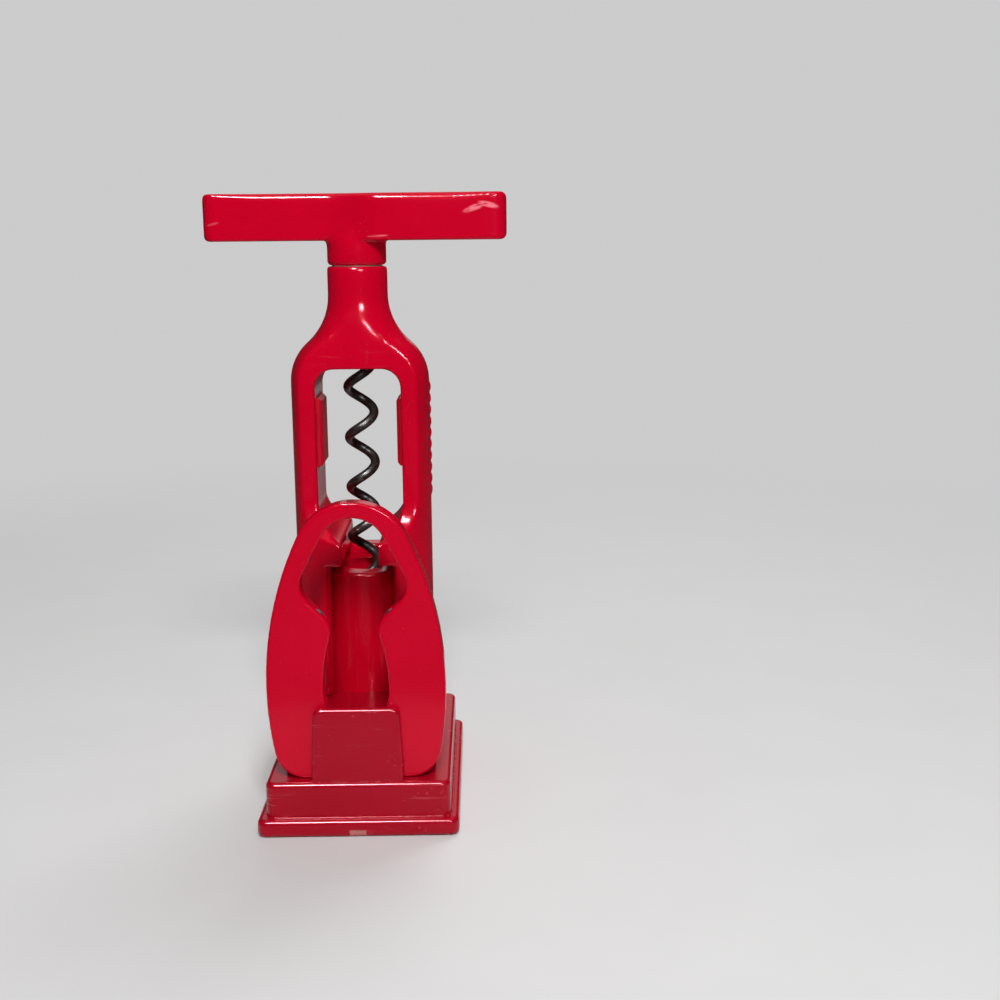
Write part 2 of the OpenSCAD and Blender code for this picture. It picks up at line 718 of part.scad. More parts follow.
stand_base();
stand_post();
frame();
left_cork_pad();
right_cork_pad();
neck_bush();
thrust_washer();
handle();
worm();
worm_collar();
cutter_body();
upper_left_wheel();
upper_right_wheel();
lower_left_wheel();
lower_right_wheel();
upper_left_pin();
upper_right_pin();
lower_left_pin();
lower_right_pin();
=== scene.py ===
from math import atan2, cos, pi, radians, sin

import bmesh
import bpy
from mathutils import Matrix, Vector


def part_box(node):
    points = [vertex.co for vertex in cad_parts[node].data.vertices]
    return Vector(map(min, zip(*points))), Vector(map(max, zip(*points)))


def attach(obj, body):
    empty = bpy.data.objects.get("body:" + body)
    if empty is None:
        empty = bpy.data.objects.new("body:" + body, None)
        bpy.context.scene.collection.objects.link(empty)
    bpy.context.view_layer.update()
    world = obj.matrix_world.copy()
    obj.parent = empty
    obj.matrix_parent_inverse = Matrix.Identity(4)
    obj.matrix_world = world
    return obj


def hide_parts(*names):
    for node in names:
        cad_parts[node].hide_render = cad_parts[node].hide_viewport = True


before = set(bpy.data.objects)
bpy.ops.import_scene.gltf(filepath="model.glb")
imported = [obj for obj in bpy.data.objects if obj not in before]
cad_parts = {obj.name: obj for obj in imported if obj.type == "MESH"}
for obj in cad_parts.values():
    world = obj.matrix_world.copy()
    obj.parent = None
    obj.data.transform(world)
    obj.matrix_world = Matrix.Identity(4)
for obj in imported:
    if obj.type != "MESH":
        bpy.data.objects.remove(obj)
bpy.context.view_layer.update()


# Display stand: flange, plinth, raised block and front tab in one hollow injection moulding.
# Satin red plastic, open underneath. The mould rounds its edges, and years on a shelf have scuffed it,
# and a pale scar is left at the foot of its front where the moulding was broken off its runner.

MM = 0.001

STAND_EDGE = 1.4 * MM
STAND_FILLET = 0.2 * MM
PLINTH_TOP = 16.4 * MM
TAB_SET = 3.55 * MM
TAB_THICK = 2.4 * MM
TAB_HALF = 14.25 * MM
TAB_EDGE = 1.1 * MM
TAB_ROOT = 1.5 * MM
SCAR_HALF = 2.5 * MM
SCAR_HEIGHT = 2.3 * MM
SCAR_DEPTH = 0.3 * MM
CUT_ABOVE = 0.05 * MM
FOOT_ROOM = 0.5 * MM
WELD = 0.001 * MM
FLAT = radians(0.3)
SHARP = radians(40)
COUNT_FROM = (0.31, 0.73, 1.37)


def pick(piece):
    bpy.ops.object.select_all(action="DESELECT")
    piece.select_set(True)
    bpy.context.view_layer.objects.active = piece


def apply_modifier(piece, kind, **settings):
    modifier = piece.modifiers.new(kind.lower(), kind)
    for key, value in settings.items():
        setattr(modifier, key, value)
    pick(piece)
    bpy.ops.object.modifier_apply(modifier=modifier.name)


def make_whole(piece):
    """Joins up loose triangles and makes each flat face one.
    Points and faces are counted from one far corner, so that every run gives the same order."""
    order = {"type": "CURSOR_DISTANCE", "elements": {"VERT", "EDGE", "FACE"}}
    bpy.context.scene.cursor.location = COUNT_FROM
    pick(piece)
    bpy.ops.object.mode_set(mode="EDIT")
    bpy.ops.mesh.select_all(action="SELECT")
    bpy.ops.mesh.remove_doubles(threshold=WELD)
    bpy.ops.mesh.sort_elements(**order)
    bpy.ops.mesh.dissolve_limited(angle_limit=FLAT)
    bpy.ops.mesh.sort_elements(**order)
    bpy.ops.object.mode_set(mode="OBJECT")


def merged_copy(node, name):
    """A copy of a CAD node with whole faces, to be dressed."""
    piece = bpy.data.objects.new(name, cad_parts[node].data.copy())
    piece.data.name = name
    piece.data.materials.clear()
    bpy.context.collection.objects.link(piece)
    pick(piece)
    bpy.ops.mesh.customdata_custom_splitnormals_clear()
    make_whole(piece)
    return piece


def block(low, high):
    """A plain box between two corners, for cutting a piece."""
    middle = (Vector(low) + Vector(high)) / 2
    bpy.ops.object.select_all(action="DESELECT")
    bpy.ops.mesh.primitive_cube_add(size=1, location=middle)
    bpy.ops.transform.resize(value=Vector(high) - Vector(low), center_override=middle)
    return bpy.context.object


def combine(piece, operation, other):
    """Cuts a piece by another, keeps what both share, or joins the two. The other is used up."""
    apply_modifier(piece, "BOOLEAN", operation=operation, solver="MANIFOLD", object=other)
    bpy.data.objects.remove(other)


def move_cut(piece, level, new_level):
    """Moves the points of a level cut up or down."""
    for point in piece.data.vertices:
        if abs(point.co.z - level) < CUT_ABOVE / 5:
            point.co.z = new_level


def clear_foot(piece, level, low, high):
    """Takes out the points that a removed form has left on the flat it stood on."""
    pick(piece)
    bpy.ops.object.mode_set(mode="EDIT")
    flat = bmesh.from_edit_mesh(piece.data)
    for point in flat.verts:
        x, y, z = point.co
        point.select_set(low[0] < x < high[0] and low[1] < y < high[1] and abs(z - level) < CUT_ABOVE)
    flat.select_flush_mode()
    bmesh.update_edit_mesh(piece.data)
    bpy.ops.mesh.dissolve_verts()
    bpy.ops.object.mode_set(mode="OBJECT")


def round_edges(piece, outer, inner, segments=4, sharp=SHARP, seat=(Vector((0, 0)), 0)):
    """Rounds the sharp edges as a mould does: the outer ones by one radius, the hollow ones by another.
    A seat, given in plan by its middle and its radius, keeps its edges sharp."""
    mesh = bmesh.new()
    mesh.from_mesh(piece.data)
    weight = mesh.edges.layers.float.new("bevel_weight_edge")
    for edge in mesh.edges:
        bend = edge.calc_face_angle_signed(0)
        middle = (edge.verts[0].co + edge.verts[1].co) / 2
        if abs(bend) > sharp and (middle.xy - seat[0]).length > seat[1]:
            edge[weight] = 1 if bend > 0 else inner / outer
    mesh.to_mesh(piece.data)
    mesh.free()
    pick(piece)
    bpy.ops.object.shade_smooth_by_angle(angle=sharp)
    apply_modifier(piece, "BEVEL", limit_method="WEIGHT", width=outer, segments=segments,
                   use_clamp_overlap=False, loop_slide=False, harden_normals=True)


def even_normals(piece):
    """Shades flats as flat and rounded edges as round after two pieces were joined."""
    pick(piece)
    bpy.ops.mesh.customdata_custom_splitnormals_clear()
    bpy.ops.object.shade_smooth_by_angle(angle=SHARP)
    apply_modifier(piece, "WEIGHTED_NORMAL", keep_sharp=True)


class Socket:
    """One output of a finish's nodes. Arithmetic on it adds Math nodes."""

    def __init__(self, finish, output):
        self.finish = finish
        self.output = output

    def math(self, operation, *values):
        return self.finish.node("ShaderNodeMath", {"operation": operation}, values)

    def __add__(self, other):
        return self.math("ADD", self, other)

    def __radd__(self, other):
        return self.math("ADD", other, self)

    def __sub__(self, other):
        return self.math("SUBTRACT", self, other)

    def __rsub__(self, other):
        return self.math("SUBTRACT", other, self)

    def __mul__(self, other):
        return self.math("MULTIPLY", self, other)

    def __rmul__(self, other):
        return self.math("MULTIPLY", other, self)

    def __truediv__(self, other):
        return self.math("DIVIDE", self, other)

    def __pow__(self, other):
        return self.math("POWER", self, other)

    def size(self):
        return self.math("ABSOLUTE", self)

    def rise(self, low, high):
        """0 at low and 1 at high, eased between them. With low above high it falls instead."""
        return self.finish.node("ShaderNodeMapRange", {"interpolation_type": "SMOOTHSTEP"},
                                {"Value": self, "From Min": low, "From Max": high})


class Finish:
    """One procedural material, drawn on the piece's own coordinates."""

    def __init__(self, name):
        self.material = bpy.data.materials.new(name)
        self.material.use_nodes = True
        self.tree = self.material.node_tree
        self.shader = self.tree.nodes["Principled BSDF"]
        self.place = self.node("ShaderNodeTexCoord", output="Object")

    def feed(self, socket, value):
        if isinstance(value, Socket):
            self.tree.links.new(value.output, socket)
        else:
            socket.default_value = value

    def node(self, kind, settings=None, values=(), output=0):
        made = self.tree.nodes.new(kind)
        for key, value in (settings or {}).items():
            setattr(made, key, value)
        pairs = values.items() if isinstance(values, dict) else enumerate(values)
        for key, value in pairs:
            self.feed(made.inputs[key], value)
        return Socket(self, made.outputs[output])

    def noise(self, size, stretch=(1, 1, 1), detail=3, shift=(0, 0, 0)):
        """Cloudy pattern with marks of about this size, drawn out by stretch along each axis."""
        scale = [1 / s for s in stretch]
        at = self.node("ShaderNodeMapping", None,
                       {"Vector": self.place, "Location": shift, "Scale": scale})
        return self.node("ShaderNodeTexNoise", None,
                         {"Vector": at, "Scale": 1 / size, "Detail": detail})

    def axes(self):
        return [self.node("ShaderNodeSeparateXYZ", None, [self.place], output=axis) for axis in "XYZ"]

    def blend(self, share, first, second):
        return self.node("ShaderNodeMix", {"data_type": "RGBA"},
                         {0: share, 6: first, 7: second}, output=2)

    def smear(self, centre, reach, lean=0.0):
        """A patch seen from the front: 1 in its middle, 0 at its rim, leaned by an angle."""
        x, _, z = self.axes()
        across, up = x - centre[0], z - centre[1]
        along = (across * cos(lean) + up * sin(lean)) / reach[0]
        aside = (up * cos(lean) - across * sin(lean)) / reach[1]
        return (along * along + aside * aside).rise(1, 0.2)

    def patch(self, centre, reach):
        """A square-cornered patch seen from the front, with a soft rim."""
        x, _, z = self.axes()
        across = (x - centre[0]).size() / reach[0]
        up = (z - centre[1]).size() / reach[1]
        return across.rise(1.1, 0.9) * up.rise(1.1, 0.9)

    def edge_wear(self, radius):
        """1 on an edge and 0 on a flat, from how far a rounded normal leaves the true one."""
        soft = self.node("ShaderNodeBevel", {"samples": 4}, {"Radius": radius})
        true = self.node("ShaderNodeNewGeometry", output="Normal")
        facing = self.node("ShaderNodeVectorMath", {"operation": "DOT_PRODUCT"},
                           [soft, true], output="Value")
        return (1 - facing).rise(0.01, 0.15)

    def bump(self, height, depth, strength=1.0):
        relief = self.node("ShaderNodeBump", None,
                           {"Height": height, "Distance": depth, "Strength": strength})
        self.feed(self.shader.inputs["Normal"], relief)

    def surface(self, **values):
        for key, value in values.items():
            self.feed(self.shader.inputs[key.replace("_", " ").title().replace("Ior", "IOR")], value)

    def cover(self, *pieces):
        for piece in pieces:
            piece.data.materials.clear()
            piece.data.materials.append(self.material)


def pigment(red, green, blue):
    """Colour as the eye reads it, 0 to 255, made linear for the shader."""
    return tuple((c / 255 / 12.92 if c < 10.3 else ((c / 255 + 0.055) / 1.055) ** 2.4)
                 for c in (red, green, blue)) + (1,)


stand_low, stand_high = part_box("stand_base")
post_low, post_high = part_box("stand_post")
post_seat = ((post_low + post_high).xy / 2, (post_high.x - post_low.x) / 2)

tab_front = stand_low.y + TAB_SET
tab_back = tab_front + TAB_THICK
overhead = stand_high.z + MM

tab_cut = PLINTH_TOP + CUT_ABOVE
tab_low = (-TAB_HALF - MM, tab_front - MM, tab_cut)
tab_high = (TAB_HALF + MM, tab_back + MM, overhead)
scar_low = (-SCAR_HALF, stand_low.y - MM, -MM)
scar_high = (SCAR_HALF, stand_low.y + SCAR_DEPTH, SCAR_HEIGHT)

tab = merged_copy("stand_base", "stand_tab")
combine(tab, "INTERSECT", block(tab_low, tab_high))
move_cut(tab, tab_cut, PLINTH_TOP - TAB_ROOT)
make_whole(tab)
round_edges(tab, TAB_EDGE, TAB_EDGE)

stand = merged_copy("stand_base", "stand_moulding")
combine(stand, "DIFFERENCE", block(tab_low, tab_high))
move_cut(stand, tab_cut, PLINTH_TOP)
make_whole(stand)
clear_foot(stand, PLINTH_TOP, (tab_low[0], tab_front - FOOT_ROOM), tab_high)
round_edges(stand, STAND_EDGE, STAND_FILLET, seat=post_seat)
combine(stand, "DIFFERENCE", block(scar_low, scar_high))
combine(stand, "UNION", tab)
even_normals(stand)

RED_GLINT = (1, 0.38, 0.44, 1)

stand_red = Finish("satin_stand_red")
drift = stand_red.noise(24 * MM)
scratch_long = stand_red.noise(1.1 * MM, stretch=(22, 3, 1), detail=4)
scratch_deep = stand_red.noise(1.0 * MM, stretch=(2, 18, 1), detail=4, shift=(0.3, 0.1, 0.2))
handled = stand_red.noise(13 * MM, shift=(0.05, 0.02, 0.07)).rise(0.46, 0.66)
scuffs = (scratch_long.rise(0.6, 0.72) + scratch_deep.rise(0.62, 0.74)) * handled
rub = stand_red.edge_wear(STAND_EDGE) * stand_red.noise(2.2 * MM, detail=5).rise(0.5, 0.68)
scar = stand_red.patch((0, 0), (SCAR_HALF, SCAR_HEIGHT)) * stand_red.noise(0.8 * MM).rise(0.28, 0.5)
front = stand_red.axes()[1].rise(stand_low.y + 1.0 * MM, stand_low.y + 0.4 * MM)
moulded = stand_red.blend(drift, pigment(158, 2, 26), pigment(172, 4, 34))
scuffed = stand_red.blend(scuffs * 0.3, moulded, pigment(206, 96, 104))
rubbed = stand_red.blend(rub * 0.35, scuffed, pigment(214, 110, 116))
stand_red.surface(base_color=stand_red.blend(scar * front * 0.6, rubbed, pigment(220, 160, 150)),
                  roughness=0.16 + 0.08 * drift + 0.22 * scuffs + 0.2 * rub + 0.3 * scar * front,
                  specular_ior_level=0.5, specular_tint=RED_GLINT)
stand_red.bump(stand_red.noise(0.35 * MM, detail=2) + 2 * scuffs, 0.012 * MM)
stand_red.cover(stand)

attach(stand, "stand")
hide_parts("stand_base")


# Post: a dummy bottle neck in the same red plastic, a turned-looking tube with a rounded rim.
# Its spigot is pressed into the block. The corkscrew's legs straddle it and rub its sides upright.

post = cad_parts["stand_post"]
post_red = Finish("rubbed_post_red")
drift = post_red.noise(20 * MM)
rubbing = post_red.noise(0.8 * MM, stretch=(1, 1, 26), detail=4).rise(0.58, 0.74)
polish = post_red.blend(drift, pigment(190, 0, 28), pigment(204, 2, 38))
post_red.surface(base_color=post_red.blend(rubbing * 0.12, polish, pigment(214, 80, 94)),
                 roughness=0.14 + 0.06 * drift + 0.16 * rubbing,
                 specular_ior_level=0.5, specular_tint=RED_GLINT)
post_red.bump(post_red.noise(0.4 * MM, detail=2) + rubbing, 0.006 * MM)
post_red.cover(post)


# Frame: bottle-shaped moulding with neck, flat-faced shoulders, two springy legs, jaws and round mouth.
# High-gloss crimson plastic in one piece, so every edge is softened and every corner inside is filled.

FRAME_SKIN = 0.55 * MM
FRAME_PASSES = 8
SHOULDER_HALF = 24 * MM
SHOULDER_LOW = 140 * MM
SHOULDER_STEP = 2 * MM
SHOULDER_STEPS = 4
SHOULDER_PASSES = 4
RUN_OUT_HALF = 8 * MM
RUN_OUT_LOW = 147 * MM
RUN_OUT_HIGH = 160 * MM
RUN_OUT_PASSES = 30


def soft_skin(piece, skin, passes):
    """Gives a piece one unbroken skin and eases it.
    Edges and corners come out as a mould leaves them."""
    apply_modifier(piece, "REMESH", mode="VOXEL", voxel_size=skin)
    apply_modifier(piece, "SMOOTH", iterations=passes, factor=0.5)
    pick(piece)
    bpy.ops.object.shade_smooth()


def ease(piece, across, up, passes):
    """Smooths one stretch of a skin, given by its reach across and up.
    One form then runs out into another."""
    pick(piece)
    bpy.ops.object.mode_set(mode="EDIT")
    skin = bmesh.from_edit_mesh(piece.data)
    for point in skin.verts:
        point.select_set(across[0] < point.co.x < across[1] and up[0] < point.co.z < up[1])
    skin.select_flush_mode()
    bmesh.update_edit_mesh(piece.data)
    bpy.ops.mesh.vertices_smooth(factor=0.5, repeat=passes)
    bpy.ops.object.mode_set(mode="OBJECT")


def gloss_red(name, marks=(), marks_end=1.0):
    """Polished crimson plastic with faint flow clouds, hairlines and dust.
    It carries the marks given, in front of marks_end."""
    finish = Finish(name)
    cloud = finish.noise(30 * MM)
    hairlines = finish.noise(0.6 * MM, stretch=(20, 4, 1.5), detail=4).rise(0.66, 0.78)
    crossing = finish.noise(0.7 * MM, stretch=(2, 3, 24), detail=4, shift=(0.2, 0.4, 0.1))
    crossing = crossing.rise(0.68, 0.8)
    dust = finish.noise(0.5 * MM, detail=1, shift=(0.6, 0.3, 0.9)).rise(0.74, 0.8)
    wear = (hairlines + crossing) * finish.noise(18 * MM, shift=(0.1, 0.1, 0.4)).rise(0.42, 0.62)
    colour = finish.blend(cloud, pigment(192, 0, 32), pigment(208, 0, 42))
    colour = finish.blend(wear * 0.04 + dust * 0.2, colour, pigment(232, 120, 130))
    roughness = 0.11 + 0.05 * cloud + 0.14 * wear + 0.2 * dust
    front = finish.axes()[1].rise(marks_end, marks_end - 2 * MM)
    for centre, reach, lean, strength, shade in marks:
        broken = finish.noise(0.9 * MM, stretch=(5, 5, 1), detail=4).rise(0.34, 0.54)
        mark = front * finish.smear(centre, reach, lean) * broken
        colour = finish.blend(mark * strength, colour, shade)
        roughness = roughness + 0.3 * mark
    finish.surface(base_color=colour, roughness=roughness,
                   specular_ior_level=0.5, specular_tint=RED_GLINT)
    finish.bump(finish.noise(3.5 * MM, detail=1) + 0.08 * finish.noise(0.4 * MM), 0.02 * MM, 0.5)
    return finish


bottle_frame = merged_copy("frame", "bottle_frame")
soft_skin(bottle_frame, FRAME_SKIN, FRAME_PASSES)
for step in range(SHOULDER_STEPS):
    low = SHOULDER_LOW + step * SHOULDER_STEP
    ease(bottle_frame, (-SHOULDER_HALF, SHOULDER_HALF), (low, RUN_OUT_HIGH), SHOULDER_PASSES)
ease(bottle_frame, (-RUN_OUT_HALF, RUN_OUT_HALF), (RUN_OUT_LOW, RUN_OUT_HIGH), RUN_OUT_PASSES)
frame_red = gloss_red("gloss_frame_red")
frame_red.cover(bottle_frame)

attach(bottle_frame, "frame")
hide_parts("frame")


# Cork pads: two bevelled pads let into the legs' inner walls, which stop a drawn cork from turning.
# The same red plastic as the frame, duller from the corks that have rubbed on them. Their red is painted a
# little darker than the frame's, as painted shade on the walls inside the window.

PAD_EDGE = 0.25 * MM

pad_red = Finish("dull_pad_red_painted_shade")
cork_rub = pad_red.noise(1.2 * MM, stretch=(1, 1, 7), detail=4)
# Painted shade: the pad red is set darker than the frame's gloss red.
pad_red.surface(base_color=pad_red.blend(cork_rub, pigment(180, 0, 28), pigment(200, 8, 40)),
                roughness=0.26 + 0.2 * cork_rub, specular_ior_level=0.5, specular_tint=RED_GLINT)
pad_red.bump(cork_rub, 0.02 * MM)

for node in ("left_cork_pad", "right_cork_pad"):
    pad = merged_copy(node, node + "_moulding")
    round_edges(pad, PAD_EDGE, PAD_EDGE, segments=3, sharp=radians(25))
    pad_red.cover(pad)
    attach(pad, "frame")
    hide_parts(node)


# Guide bush and thrust washer: turned rings of natural white acetal in the neck.
# The bush is pressed in and keeps the worm central, and the washer takes the pull between hub and neck.

acetal = Finish("turned_acetal")
turning = acetal.noise(0.25 * MM, stretch=(60, 60, 1), detail=2)
natural = acetal.blend(acetal.noise(6 * MM), pigment(226, 224, 216), pigment(238, 236, 230))
acetal.surface(base_color=natural, roughness=0.34 + 0.14 * turning)
acetal.bump(turning, 0.01 * MM)
acetal.cover(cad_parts["neck_bush"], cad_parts["thrust_washer"])


# Handle: T bar with an S in its plan, moulded in one with its hub in the frame's gloss crimson.
# Hands and table tops have left pale smears near its ends and nicks along its lower edge.

HANDLE_SKIN = 0.42 * MM
HANDLE_PASSES = 7
HUB_RADIUS = 9.0 * MM
HUB_FADE = 9.0 * MM
HUB_FADE_RADIUS = 7.4 * MM
HUB_SIDE = (-9.5 * MM, 3 * MM)
HUB_PASSES = 60
BAR_HEIGHT = 14.6 * MM
BAR_EDGE = 1.5 * MM
BAR_INSETS = range(2, 18, 2)
BAR_PASSES = 6

handle_low, handle_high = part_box("handle")
axis_y = (handle_low.y + handle_high.y) / 2
bar_top = handle_high.z
bar_low = bar_top - BAR_HEIGHT
bar_right = handle_high.x

handle = merged_copy("handle", "t_handle")
bpy.ops.object.select_all(action="DESELECT")
bpy.ops.mesh.primitive_cone_add(vertices=96, radius1=HUB_RADIUS, radius2=HUB_FADE_RADIUS,
                                depth=HUB_FADE, location=(0, axis_y, bar_low + HUB_FADE / 2))
combine(handle, "UNION", bpy.context.object)
soft_skin(handle, HANDLE_SKIN, HANDLE_PASSES)
for inset in BAR_INSETS:
    inner = bar_right - inset * MM
    ease(handle, (-inner, inner), (bar_low + BAR_EDGE, bar_top + MM), BAR_PASSES)
ease(handle, HUB_SIDE, (bar_low - 2 * MM, bar_low + 6 * MM), HUB_PASSES)

SMEAR = pigment(242, 118, 134)
handle_red = gloss_red("gloss_handle_red", marks=(
    ((bar_right - 10.0 * MM, bar_top - 4.9 * MM), (4.4 * MM, 1.1 * MM), radians(20), 0.9, SMEAR),
    ((bar_right - 5.6 * MM, bar_top - 4.0 * MM), (3.8 * MM, 1.0 * MM), radians(-14), 0.9, SMEAR),
    ((-bar_right + 3.6 * MM, bar_top - 9.2 * MM), (2.6 * MM, 0.5 * MM), radians(14), 0.2, SMEAR),
    ((7.5 * MM, bar_top - 13.2 * MM), (3.8 * MM, 0.5 * MM), radians(2), 0.5, SMEAR),
), marks_end=axis_y)
handle_red.cover(handle)

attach(handle, "handle")
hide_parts("handle")


# Worm: one steel wire wound to an open right-hand helix, with a straight shank and a ground point.
# A black low-friction coat covers it, speckled and worn to grey on the crests that the corks rub. The grey
# on the crests is partly worn coat and partly painted highlight along the wire's outer edge.

WIRE_RADIUS = 1.5 * MM
HELIX_RADIUS = 4.1 * MM
WORM_PITCH = 16.4 * MM
WORM_LENGTH = 128 * MM
WORM_LEAD_IN = 12 * MM
WORM_START = radians(315)
POINT_TURN = radians(120)
POINT_SHARE = 0.12
STEPS_PER_TURN = 40
WIRE_SHARP = radians(50)

worm_low, worm_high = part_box("worm")
helix_top = handle_low.z
full_turn = 2 * pi * WORM_LENGTH / WORM_PITCH
steps = round(STEPS_PER_TURN * full_turn / (2 * pi))

wire_points = [(0, axis_y, worm_high.z, 1.0)]
for step in range(steps + 1):
    turn = full_turn * step / steps
    drop = WORM_PITCH * turn / (2 * pi)
    out = min(drop / WORM_LEAD_IN, 1)
    radius = HELIX_RADIUS * out * out * (3 - 2 * out)
    share = min(max((full_turn - turn) / POINT_TURN, POINT_SHARE), 1)
    wire_points.append((radius * cos(WORM_START - turn), axis_y + radius * sin(WORM_START - turn),
                        helix_top - drop, share))

wire = bpy.data.curves.new("worm_wire", "CURVE")
wire.dimensions = "3D"
wire.bevel_depth = WIRE_RADIUS
wire.bevel_resolution = 6
wire.use_fill_caps = True
line = wire.splines.new("POLY")
line.points.add(len(wire_points) - 1)
for point, (x, y, z, share) in zip(line.points, wire_points):
    point.co = (x, y, z, 1)
    point.radius = share
worm = bpy.data.objects.new("worm_wire", wire)
bpy.context.collection.objects.link(worm)
pick(worm)
bpy.ops.object.convert(target="MESH")
worm = bpy.context.object
bpy.ops.object.mode_set(mode="EDIT")
bpy.ops.mesh.select_all(action="SELECT")
bpy.ops.mesh.remove_doubles(threshold=WELD)
bpy.ops.mesh.normals_make_consistent(inside=False)
bpy.ops.object.mode_set(mode="OBJECT")
bpy.ops.object.shade_smooth_by_angle(angle=WIRE_SHARP)

black_coat = Finish("worn_black_coat")
across, depth, height = black_coat.axes()
off_axis = depth - axis_y
from_axis = (across * across + off_axis * off_axis) ** 0.5
speckle = black_coat.noise(0.45 * MM, detail=3)
crest = from_axis.rise(HELIX_RADIUS + 0.5 * WIRE_RADIUS, HELIX_RADIUS + WIRE_RADIUS)
# Grey crest patches: worn coat, and partly painted highlight on the wire's outer edge.
bare_and_sheen = crest * black_coat.noise(1.6 * MM, detail=5).rise(0.48, 0.66)
point = height.rise(worm_low.z + 9 * MM, worm_low.z + 2 * MM)
coat = black_coat.blend(speckle.rise(0.5, 0.7), pigment(20, 17, 16), pigment(46, 40, 37))
worn = black_coat.blend(bare_and_sheen * 0.4, coat, pigment(120, 114, 108))
black_coat.surface(base_color=black_coat.blend(point * 0.6, worn, pigment(128, 126, 124)),
                   metallic=0.5 * bare_and_sheen + 0.4 * point,
                   roughness=0.22 + 0.26 * speckle - 0.04 * bare_and_sheen)
black_coat.bump(speckle, 0.06 * MM)
black_coat.cover(worm)

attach(worm, "handle")
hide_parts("worm")


# Ferrule: a turned brass sleeve that anchors the worm's shank inside the hub.
# It is moulded in, so only its lower rim can be seen from below.

brass = Finish("turned_brass")
turning = brass.noise(0.2 * MM, stretch=(80, 80, 1), detail=2)
tarnish = brass.blend(brass.noise(3 * MM), pigment(196, 152, 78), pigment(222, 184, 108))
brass.surface(base_color=tarnish, metallic=1.0, roughness=0.22 + 0.16 * turning)
brass.bump(turning, 0.01 * MM)
brass.cover(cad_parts["worm_collar"])


# Foil cutter: an arch of the same gloss crimson plastic whose legs are squeezed on a bottle's rim.
# It stands loose in the slot behind the tab. A small scar on its crown is left from its runner, and its
# dark red is painted shade, as if the scar were a deeper pit.

CUTTER_SKIN = 0.42 * MM
CUTTER_PASSES = 6
CROWN_SCAR = 1.4 * MM
CROWN_SCAR_LONG = 2 * MM
CROWN_SCAR_LIFT = 0.8 * MM

cutter_low, cutter_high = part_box("cutter_body")
cutter_y = (cutter_low.y + cutter_high.y) / 2

cutter = merged_copy("cutter_body", "foil_cutter")
bpy.ops.object.select_all(action="DESELECT")
bpy.ops.mesh.primitive_cylinder_add(vertices=24, radius=CROWN_SCAR, depth=CROWN_SCAR_LONG,
                                    location=(0, cutter_y, cutter_high.z + CROWN_SCAR_LIFT),
                                    rotation=(pi / 2, 0, 0))
combine(cutter, "DIFFERENCE", bpy.context.object)
soft_skin(cutter, CUTTER_SKIN, CUTTER_PASSES)
# The crown mark's dark red is painted shade in the shallow runner scar.
cutter_red = gloss_red("gloss_cutter_red", marks=(
    ((0, cutter_high.z), (2.2 * MM, 0.9 * MM), 0.0, 0.8, pigment(66, 6, 14)),
))
cutter_red.cover(cutter)

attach(cutter, "cutter")
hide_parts("cutter_body")


# Cutting wheels and their axle pins: hardened steel discs in slots of the arch, sharpened from both faces.
# Each turns on a drawn steel pin that is pressed in from the back.

steel = Finish("ground_steel")
grinding = steel.noise(0.15 * MM, stretch=(1, 30, 30), detail=3)
steel.surface(base_color=steel.blend(grinding, pigment(34, 34, 37), pigment(56, 56, 60)),
              metallic=1.0, roughness=0.46 + 0.16 * grinding)
steel.bump(grinding, 0.004 * MM)
for corner in ("upper_left", "upper_right", "lower_left", "lower_right"):
    steel.cover(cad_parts[corner + "_wheel"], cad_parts[corner + "_pin"])


# Studio: a pale grey paper floor that fades into an even grey room, with no edge to be seen.
# It isn't part of the object.

FLOOR_RADIUS = 4.0
FLOOR_DROP = 0.05 * MM
PAPER_DARK = (0.64, 0.64, 0.64, 1)
PAPER_PALE = (0.68, 0.68, 0.68, 1)
ROOM_GREY = (0.60, 0.60, 0.60, 1)
ROOM_LIGHT = (0.18, 0.18, 0.18, 1)
HAZE_FROM = 0.15
HAZE_TO = 0.7


def room_grey(tree):
    """The room's pale grey for the rays that show it, and a dimmer one for those that light the object."""
    rays = tree.nodes.new("ShaderNodeLightPath")
    shows = rays.outputs["Is Camera Ray"]
    for kind in ("Is Glossy Ray", "Is Transmission Ray"):
        either = tree.nodes.new("ShaderNodeMath")
        either.operation = "MAXIMUM"
        tree.links.new(shows, either.inputs[0])
        tree.links.new(rays.outputs[kind], either.inputs[1])
        shows = either.outputs[0]
    wall = tree.nodes.new("ShaderNodeMix")
    wall.data_type = "RGBA"
    wall.inputs[6].default_value = ROOM_LIGHT
    wall.inputs[7].default_value = ROOM_GREY
    tree.links.new(shows, wall.inputs[0])
    return wall.outputs[2]


bpy.ops.object.select_all(action="DESELECT")
bpy.ops.mesh.primitive_circle_add(vertices=96, radius=FLOOR_RADIUS, fill_type="NGON",
                                  location=(0, 0, -FLOOR_DROP))
floor = bpy.context.object
floor.name = "paper_floor"
bpy.ops.object.transform_apply(location=True)

paper = Finish("pale_paper")
across, depth, _ = paper.axes()
far = (across * across + depth * depth) ** 0.5
mottle = paper.noise(45 * MM, detail=4)
paper.surface(base_color=paper.blend(mottle, PAPER_DARK, PAPER_PALE), roughness=0.7,
              specular_ior_level=0.0)
haze = paper.node("ShaderNodeEmission", None, {"Color": Socket(paper, room_grey(paper.tree))})
lit = Socket(paper, paper.shader.outputs[0])
faded = paper.node("ShaderNodeMixShader", None, [far.rise(HAZE_FROM, HAZE_TO), lit, haze])
paper.feed(paper.tree.nodes["Material Output"].inputs["Surface"], faded)
paper.cover(floor)

room = bpy.data.worlds.new("even_room")
room.use_nodes = True
background = room.node_tree.nodes["Background"]
room.node_tree.links.new(room_grey(room.node_tree), background.inputs["Color"])
bpy.context.scene.world = room


# Lamps: a key lamp over the camera, a soft box for the back, and two small ones that only make edge lines.
# A dark tent stands round the object and keeps the room's grey out of the gloss.
# It has a narrow gap and a window at the back, and only reflections show it.

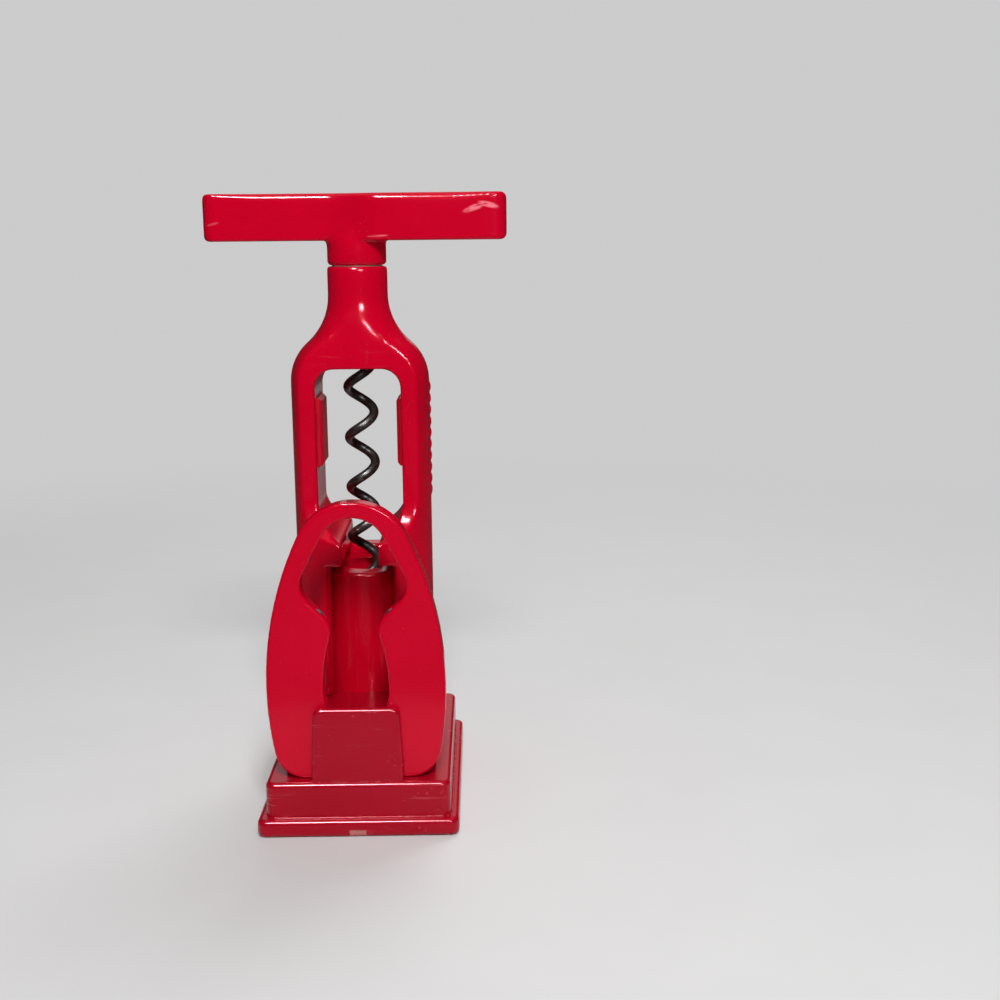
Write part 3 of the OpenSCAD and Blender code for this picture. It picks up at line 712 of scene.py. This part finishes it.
TENT_FOOT = 0.15
TENT_RADIUS = 1.6
TENT_BANDS = (0.35, 0.85, 1.8)
TENT_GAP = (radians(5.5), radians(8.5))
TENT_WINDOW = (radians(-14), radians(14))
FELT_DARK = (0.012, 0.012, 0.012, 1)
FELT_PALE = (0.02, 0.02, 0.02, 1)


def lamp_box(name, azimuth, elevation, width, height, watts, diffuse=True, glossy=True):
    """A flat lamp a metre away that faces the object, with its azimuth from the front to the right."""
    out = Vector((sin(azimuth) * cos(elevation), -cos(azimuth) * cos(elevation), sin(elevation)))
    lamp = bpy.data.lights.new(name, "AREA")
    lamp.shape = "RECTANGLE"
    lamp.size = width
    lamp.size_y = height
    lamp.energy = watts
    holder = bpy.data.objects.new(name, lamp)
    holder.location = out + Vector((0, 0, 0.1))
    holder.rotation_euler = (-out).to_track_quat("-Z", "Y").to_euler()
    holder.visible_diffuse = diffuse
    holder.visible_glossy = glossy
    bpy.context.collection.objects.link(holder)


lamp_box("key_lamp", radians(8), radians(44), 0.24, 0.24, 8.6, glossy=False)
lamp_box("back_box", radians(160), radians(50), 0.6, 0.6, 5.0, glossy=False)
lamp_box("edge_lamp", radians(-10.5), radians(46), 0.16, 0.12, 22.0, diffuse=False)
lamp_box("right_lamp", radians(16), radians(21), 0.2, 0.16, 7.0, diffuse=False)

bpy.ops.object.select_all(action="DESELECT")
bpy.ops.mesh.primitive_circle_add(vertices=180, radius=TENT_FOOT, location=(0, 0, 1 * MM))
tent = bpy.context.object
tent.name = "dark_tent"
bpy.ops.object.transform_apply(location=True)
bpy.ops.object.mode_set(mode="EDIT")
bpy.ops.mesh.select_all(action="SELECT")
bpy.ops.mesh.extrude_edges_move()
spread = TENT_RADIUS / TENT_FOOT
bpy.ops.transform.resize(value=(spread, spread, 1), center_override=(0, 0, 0))
for band in TENT_BANDS:
    bpy.ops.mesh.extrude_edges_move(TRANSFORM_OT_translate={"value": (0, 0, band)})
cloth = bmesh.from_edit_mesh(tent.data)
for panel in cloth.faces:
    middle = panel.calc_center_median()
    turned = atan2(middle.x, middle.y)
    in_band = TENT_BANDS[0] < middle.z < TENT_BANDS[0] + TENT_BANDS[1]
    in_window = in_band and TENT_WINDOW[0] < turned < TENT_WINDOW[1]
    in_gap = TENT_GAP[0] < turned < TENT_GAP[1]
    panel.select_set(in_window or in_gap)
bmesh.update_edit_mesh(tent.data)
bpy.ops.mesh.delete(type="FACE")
bpy.ops.object.mode_set(mode="OBJECT")
for rays in ("camera", "diffuse", "shadow"):
    setattr(tent, "visible_" + rays, False)
felt = Finish("dark_felt")
felt.surface(base_color=felt.blend(felt.noise(30 * MM), FELT_DARK, FELT_PALE), roughness=0.9)
felt.cover(tent)


# Camera: stands a little right of the object, as high as its handle, and looks down at it.
# Its lens and place come from the object's outline in the picture.

PICTURE_PIXELS = 1000
SENSOR_WIDTH = 36
LENS_PIXELS = 1354.0
EYE = Vector((39.28, -428.9, 179.49)) * MM
YAW = radians(0.71)
PITCH = radians(11.085)
ROLL = radians(0.534)

ahead = Vector((sin(YAW) * cos(PITCH), cos(YAW) * cos(PITCH), -sin(PITCH)))
level = Vector((cos(YAW), -sin(YAW), 0))
below = ahead.cross(level)
right = cos(ROLL) * level + sin(ROLL) * below
down = cos(ROLL) * below - sin(ROLL) * level

lens = bpy.data.cameras.new("photo_camera")
lens.sensor_width = SENSOR_WIDTH
lens.lens = SENSOR_WIDTH * LENS_PIXELS / PICTURE_PIXELS
camera = bpy.data.objects.new("photo_camera", lens)
camera.matrix_world = Matrix.Translation(EYE) @ Matrix((right, -down, -ahead)).transposed().to_4x4()
bpy.context.collection.objects.link(camera)
bpy.context.scene.camera = camera
bpy.context.scene.view_settings.view_transform = "Standard"
